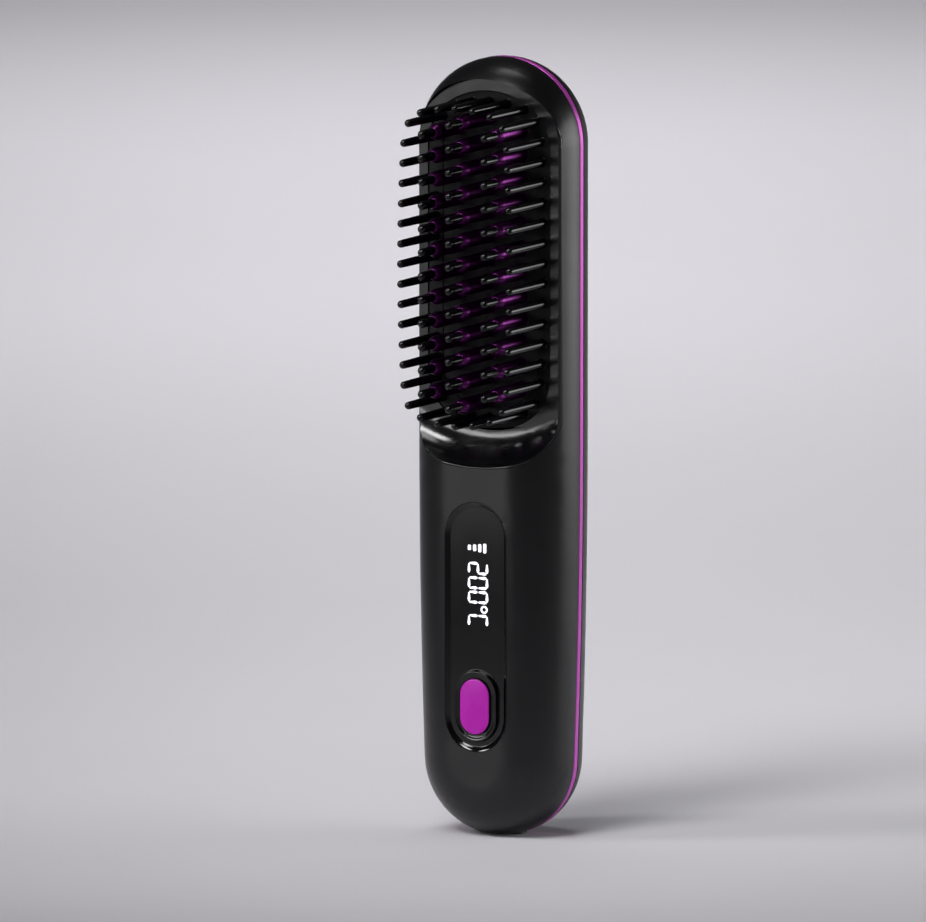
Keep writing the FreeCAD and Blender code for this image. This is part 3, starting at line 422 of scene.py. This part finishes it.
def named(made, name):
    made.name = name
    made.data.name = name
    return made


def settle(name):
    """Put the active object's place and turn into its mesh, and name it."""
    bpy.ops.object.transform_apply(location=True, rotation=True, scale=True)
    return named(bpy.context.object, name)


def end_edit(name):
    """Leave edit mode with faces turned outwards and the gentle edges smooth."""
    bpy.ops.mesh.select_all(action="SELECT")
    bpy.ops.mesh.normals_make_consistent(inside=False)
    bpy.ops.object.mode_set(mode="OBJECT")
    bpy.ops.object.shade_smooth_by_angle(angle=math.radians(NEW_SMOOTH_ANGLE))
    return named(bpy.context.object, name)


def push(distance_mm):
    """Extrude what is selected along -Y."""
    bpy.ops.mesh.extrude_region_move(TRANSFORM_OT_translate={"value": (0, -distance_mm * MM, 0)})


def separate_boxes(node):
    """Lowest and highest corner, in mm, of each separate solid of a CAD node."""
    clear_selection()
    own_copy(nodes[node])
    start_edit()
    bpy.ops.mesh.remove_doubles(threshold=MERGE_MM * MM)
    bpy.ops.mesh.separate(type="LOOSE")
    bpy.ops.object.mode_set(mode="OBJECT")
    boxes = []
    for part in bpy.context.selected_objects:
        corners = [v.co / MM for v in part.data.vertices]
        boxes.append([Vector([pick(c[i] for c in corners) for i in range(3)]) for pick in (min, max)])
    bpy.ops.object.delete()
    return boxes


def flat_circle(radius_mm, sides, x=0, y=0, z=0, turn=0, fill="NGON"):
    """Circle that faces -Y, of which an edit then makes the piece."""
    clear_selection()
    bpy.ops.mesh.primitive_circle_add(vertices=sides, radius=radius_mm * MM, fill_type=fill,
                                      location=(x * MM, y * MM, z * MM), rotation=(math.pi / 2, turn, 0))
    bpy.ops.object.transform_apply(location=True, rotation=True, scale=True)
    return bpy.context.object


def turned(name, stations, sides):
    """Round piece along -Y, extruded through (distance from the root, radius) stations in mm."""
    out, radius = stations[0]
    flat_circle(radius, sides, y=-out)
    start_edit()
    for next_out, next_radius in stations[1:]:
        push(next_out - out)
        ratio = next_radius / radius
        bpy.ops.transform.resize(value=(ratio, 1, ratio), center_override=(0, -next_out * MM, 0))
        out, radius = next_out, next_radius
    return end_edit(name)


def round_plate(radius_mm, width, length, x, back_y, z, thickness, sides):
    """Plate with round corners that faces -Y, left in edit mode with its front face selected."""
    outline = flat_circle(radius_mm, sides, x, back_y, z, turn=math.pi / sides)
    for v in outline.data.vertices:
        v.co.x += math.copysign(width / 2 - radius_mm, v.co.x - x * MM) * MM
        v.co.z += math.copysign(length / 2 - radius_mm, v.co.z - z * MM) * MM
    start_edit()
    push(thickness)


def dome(end, radius):
    """Stations of a round end of that radius, whose pole is at the distance `end`."""
    angles = [math.pi / 2 * k / (DOME_RINGS + DOME_POLE) for k in range(1, DOME_RINGS + 1)]
    return [(end - radius + radius * math.sin(a), radius * math.cos(a)) for a in angles]


def copies(name, models_and_places):
    """A copy of a model at each place in mm, each with its own mesh, joined into one piece."""
    clear_selection()
    for model, place in models_and_places:
        own_copy(model).location = Vector(place) * MM
    bpy.ops.object.join()
    joined = settle(name)
    for model in {model for model, place in models_and_places}:
        bpy.data.objects.remove(model)
    return joined


def finish_piece(piece, finish, body, slot, *stands_for):
    """Give a new piece its finish and its body, and hide the CAD node that it stands for. The slot is not
    used.
    """
    piece.data.materials.clear()
    piece.data.materials.append(finish)
    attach(piece, body)
    if stands_for:
        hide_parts(*stands_for)


# ---------------------------------------------------------------- moulded edges
def soft_edged(node, name, width_mm, finish, slot):
    """Copy of a CAD node, merged, whose sharp edges get the small radius that a mould gives them.

    A width of 0 keeps the edges as they are.
    """
    clear_selection()
    piece = named(own_copy(nodes[node]), name)
    if piece.data.has_custom_normals:
        bpy.ops.mesh.customdata_custom_splitnormals_clear()
    start_edit()
    bpy.ops.mesh.remove_doubles(threshold=MERGE_MM * MM)
    if width_mm:
        bpy.ops.mesh.dissolve_limited(angle_limit=math.radians(FLAT_ANGLE))
    bpy.ops.object.mode_set(mode="OBJECT")
    if width_mm:
        edge = piece.modifiers.new("edge", "BEVEL")
        edge.width = width_mm * MM
        edge.segments = EDGE_SEGMENTS
        edge.limit_method = "ANGLE"
        edge.angle_limit = math.radians(EDGE_ANGLE)
        edge.use_clamp_overlap = False
        bpy.ops.object.modifier_apply(modifier="edge")
    bpy.ops.object.shade_smooth_by_angle(angle=math.radians(SMOOTH_ANGLE))
    # flat faces keep their own normals, so that only the rounded edges turn the light
    piece.modifiers.new("even", "WEIGHTED_NORMAL").keep_sharp = True
    bpy.ops.object.modifier_apply(modifier="even")
    finish_piece(piece, finish, "body", slot, node)


# ---------------------------------------------------------------- teeth
def root_stations(radius):
    """Stations of the slightly hollow fillet at a tooth's root."""
    return [(0, radius + ROOT_FILLET), (0.3 * ROOT_FILLET, radius + 0.5 * ROOT_FILLET), (ROOT_FILLET, radius)]


def middle_roots(boxes):
    """Middle of each tooth's root, from the tooth's box."""
    return [((low.x + high.x) / 2, high.y, (low.z + high.z) / 2) for low, high in boxes]


def guard_bristles(finish):
    """Tapered bristles with a small fillet at the root and a round end."""
    boxes = separate_boxes("guard_bristles")
    length = boxes[0][1].y - boxes[0][0].y
    stations = root_stations(BRISTLE_ROOT_R) + [(length - BRISTLE_TIP_R, BRISTLE_TIP_R)]
    model = turned("bristle", stations + dome(length, BRISTLE_TIP_R), THIN_SIDES)
    places = [(model, root) for root in middle_roots(boxes)]
    finish_piece(copies("bristle_ring", places), finish, "body", "bristle_black", "guard_bristles")


def heated_pins(finish):
    """Round pins with a fillet at the root and a softened cone for a shoulder, in two lengths."""
    boxes = separate_boxes("heating_pins")
    models = {}
    places = []
    for (low, high), root in zip(boxes, middle_roots(boxes)):
        length = round(high.y - low.y, 2)
        if length not in models:
            foot = length - PIN_SHOULDER
            stations = root_stations(PIN_R)
            stations += [(foot + along, PIN_R + change) for along, change in SHOULDER_FOOT]
            stations += [(length + along, PIN_END_R + change) for along, change in SHOULDER_TOP]
            models[length] = turned("pin", stations, PIN_SIDES)
        places.append((models[length], root))
    finish_piece(copies("heated_pin_set", places), finish, "body", "pin_purple", "heating_pins")


def cool_tips(finish):
    """Rods with a low collar where each sits on its pin, and a round end."""
    boxes = separate_boxes("cool_tips")
    length = boxes[0][1].y - boxes[0][0].y
    collar_r = TIP_R + COLLAR_PROUD
    stations = [(0, TIP_R), (COLLAR_SLOPE, collar_r), (COLLAR_L - COLLAR_SLOPE, collar_r), (COLLAR_L, TIP_R),
                (length - TIP_R, TIP_R)]
    model = turned("tip", stations + dome(length, TIP_R), THIN_SIDES)
    places = [(model, root) for root in middle_roots(boxes)]
    finish_piece(copies("cool_tip_set", places), finish, "body", "tip_black", "cool_tips")


# ---------------------------------------------------------------- key
def button_cap(finish, painted_shade_flank):
    """Capsule-shaped key: purple face with a rounded edge, near-black painted shade on its flanks, and a
    flange behind the panel.
    """
    low, high = (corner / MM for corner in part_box("power_button"))
    width, length = high.x - low.x, high.z - low.z
    round_plate(width / 2, width, length, 0, high.y, (low.z + high.z) / 2, KEY_FLANGE_T, KEY_SIDES)
    bpy.ops.mesh.inset(thickness=KEY_FLANGE * MM)
    push(high.y - low.y - KEY_FLANGE_T - KEY_ROUND)
    for k in range(KEY_ROUND_STEPS):
        a, b = math.pi / 2 * k / KEY_ROUND_STEPS, math.pi / 2 * (k + 1) / KEY_ROUND_STEPS
        bpy.ops.mesh.inset(thickness=KEY_ROUND * (math.cos(a) - math.cos(b)) * MM)
        bpy.ops.transform.translate(value=(0, -KEY_ROUND * (math.sin(b) - math.sin(a)) * MM, 0))
    cap = end_edit("button_cap")
    finish_piece(cap, finish, "button", "button_purple", "power_button")
    cap.data.materials.append(painted_shade_flank)
    # faces turned away from the front get the near-black painted shade, the front keeps the purple
    for face in cap.data.polygons:
        face.material_index = int(face.normal.y > KEY_FACE_TILT)


# ---------------------------------------------------------------- display
def segment_model(name, length):
    """Bar of light along X with pointed ends, at the panel's middle."""
    side = STROKE / math.sqrt(3)
    bar = flat_circle(side, 6, y=PANEL_FACE_Y)
    start_edit()
    bpy.ops.transform.resize(value=(math.sqrt(3), 1, 1))
    bpy.ops.object.mode_set(mode="OBJECT")
    for v in bar.data.vertices:
        v.co.x += math.copysign(length / 2 - STROKE, v.co.x) * MM
    start_edit()
    push(GLOW_PROUD)
    return end_edit(name)


def crosswise(model, name):
    """The same bar turned to lie along Z."""
    clear_selection()
    own_copy(model).rotation_euler = (0, math.pi / 2, 0)
    return settle(name)


def degree_ring():
    """Flat ring: an outline extruded inwards, then forwards."""
    x, z, outer, stroke = DEGREE
    flat_circle(outer, RING_SIDES, x, PANEL_FACE_Y, z, fill="NOTHING")
    start_edit()
    bpy.ops.mesh.extrude_region_move()
    ratio = 1 - stroke / outer
    bpy.ops.transform.resize(value=(ratio, 1, ratio), center_override=(x * MM, PANEL_FACE_Y * MM, z * MM))
    bpy.ops.mesh.select_all(action="SELECT")
    push(GLOW_PROUD)
    return end_edit("degree_ring")


def lit_display(finish):
    """Three digits, a degree sign, a C and four level bars, each a thin glowing inlay on the panel."""
    across = DIGIT_W - STROKE
    half_up = (DIGIT_H - STROKE) / 2
    upright = segment_model("segment_upright", half_up - SEGMENT_GAP)
    level = crosswise(segment_model("segment_level", across - SEGMENT_GAP), "segment_across")
    bpy.data.objects.remove(bpy.data.objects["segment_level"])
    spots = {"a": (level, half_up, 0), "g": (level, 0, 0), "d": (level, -half_up, 0),
             "b": (upright, half_up / 2, across / 2), "c": (upright, -half_up / 2, across / 2),
             "f": (upright, half_up / 2, -across / 2), "e": (upright, -half_up / 2, -across / 2)}
    places = []
    for middle_z, lit in GLYPHS:
        for letter in lit:
            model, up, along = spots[letter]
            places.append((model, (GLOW_MID_X + up, 0, middle_z - along)))
    finish_piece(copies("display_digits", places), finish, "body", "display_face")
    finish_piece(degree_ring(), finish, "body", "display_face")
    for number, (x, width, length) in enumerate(LEVEL_BARS, 1):
        round_plate(BAR_CORNER, width, length, x, PANEL_FACE_Y, BAR_Z, GLOW_PROUD, BAR_SIDES)
        finish_piece(end_edit("level_bar_%d" % number), finish, "body", "display_face")


# ---------------------------------------------------------------- stage and lights
def seen(tree):
    """1 for what shows, straight or in gloss and glass, and 0 for the light that falls on things."""
    path = add(tree, "LightPath").outputs
    mirrored = add(tree, "Math", {"operation": "MAXIMUM"},
                   {0: path["Is Glossy Ray"], 1: path["Is Transmission Ray"]}).outputs[0]
    return add(tree, "Math", {"operation": "MAXIMUM"}, {0: path["Is Camera Ray"], 1: mirrored}).outputs[0]


def pale_floor():
    """Plain pale floor, matt, with the faintest unevenness. Far off it shows as the pale backdrop."""
    made, tree, shader, place = new_material("pale_floor", STAGE_COLOUR, 0.7)
    gloss(tree, shader, pattern(tree, place, 60, 3), 0.66, 0.74)
    reach = add(tree, "VectorMath", {"operation": "LENGTH"}, {0: place})
    far = add(tree, "MapRange", {"interpolation_type": "SMOOTHSTEP", "From Min": BACKDROP_NEAR,
                                 "From Max": BACKDROP_FAR, "To Max": BACKDROP_LEVEL},
              {"Value": reach.outputs["Value"]})
    share = add(tree, "Math", {"operation": "MULTIPLY"}, {0: far.outputs["Result"], 1: seen(tree)})
    shader.inputs["Emission Color"].default_value = linear(STAGE_COLOUR)
    tree.links.new(share.outputs[0], shader.inputs["Emission Strength"])
    clear_selection()
    bpy.ops.mesh.primitive_circle_add(vertices=FLOOR_SIDES, radius=FLOOR_RADIUS, fill_type="NGON")
    floor = bpy.context.object
    floor.name = "floor"
    floor.data.materials.append(made)


def softbox(name, azimuth, elevation, distance, width, height, radiance, spread, aim):
    """Rectangular lamp that faces its aim. Azimuth is counted as for the camera.

    The radiance is the one straight ahead of the lamp, whatever its spread.
    """
    a = math.radians(azimuth)
    e = math.radians(elevation)
    way = Vector((math.sin(a) * math.cos(e), -math.cos(a) * math.cos(e), math.sin(e)))
    data = bpy.data.lights.new(name, "AREA")
    data.shape = "RECTANGLE"
    data.size = width
    data.size_y = height
    half = math.radians(spread) / 2
    data.energy = radiance * math.pi * width * height * (1 - half / math.tan(half))
    data.spread = math.radians(spread)
    lamp = bpy.data.objects.new(name, data)
    lamp.location = aim + way * distance
    lamp.rotation_euler = (-way).to_track_quat("-Z", "Y").to_euler()
    bpy.context.scene.collection.objects.link(lamp)


def light_stage():
    """A dim room with the pale backdrop low round it, and the lamps."""
    world = bpy.data.worlds.new("room")
    world.use_nodes = True
    tree = world.node_tree
    room = tree.nodes["Background"]
    room.inputs["Color"].default_value = linear(STAGE_COLOUR)
    height = add(tree, "SeparateXYZ", links={0: add(tree, "TexCoord").outputs["Generated"]})
    low = add(tree, "MapRange", {"interpolation_type": "SMOOTHSTEP",
                                 "From Min": BACKDROP_LOW, "From Max": BACKDROP_HIGH,
                                 "To Min": BACKDROP_LEVEL - ROOM_LEVEL, "To Max": 0},
              {"Value": height.outputs["Z"]})
    glow = add(tree, "Math", {"operation": "MULTIPLY_ADD", 2: ROOM_LEVEL},
               {0: low.outputs["Result"], 1: seen(tree)})
    tree.links.new(glow.outputs[0], room.inputs["Strength"])
    bpy.context.scene.world = world
    for lamp in LAMPS:
        softbox(*lamp)


add_camera()
light_stage()
pale_floor()
bristles, pins, key, bezel, lens = bristle_nylon(), pin_coat(), purple_key(), polished_abs(), smoked_acrylic()
satin, lacquer = satin_abs(), metallic_lacquer()
dress_nodes(bristles, pins, key, bezel, lens, satin, lacquer)
guard_bristles(bristles)
heated_pins(pins)
cool_tips(bristles)
button_cap(key, key_flank_painted_shade())
lit_display(white_glow())
for node, name, edge_mm, finish, slot in (
        ("head_bezel", "bezel", 0.18, bezel, "bezel_black"),
        ("control_panel", "panel", 0.15, lens, "panel_black"),
        ("front_shell", "front_casing", 0, satin, "shell_black"),
        ("rear_shell", "rear_casing", 0, satin, "shell_black"),
        ("accent_strip", "trim_strip", 0, lacquer, "accent_purple")):
    soft_edged(node, name, edge_mm, finish, slot)

bpy.context.scene.view_settings.view_transform = "Standard"
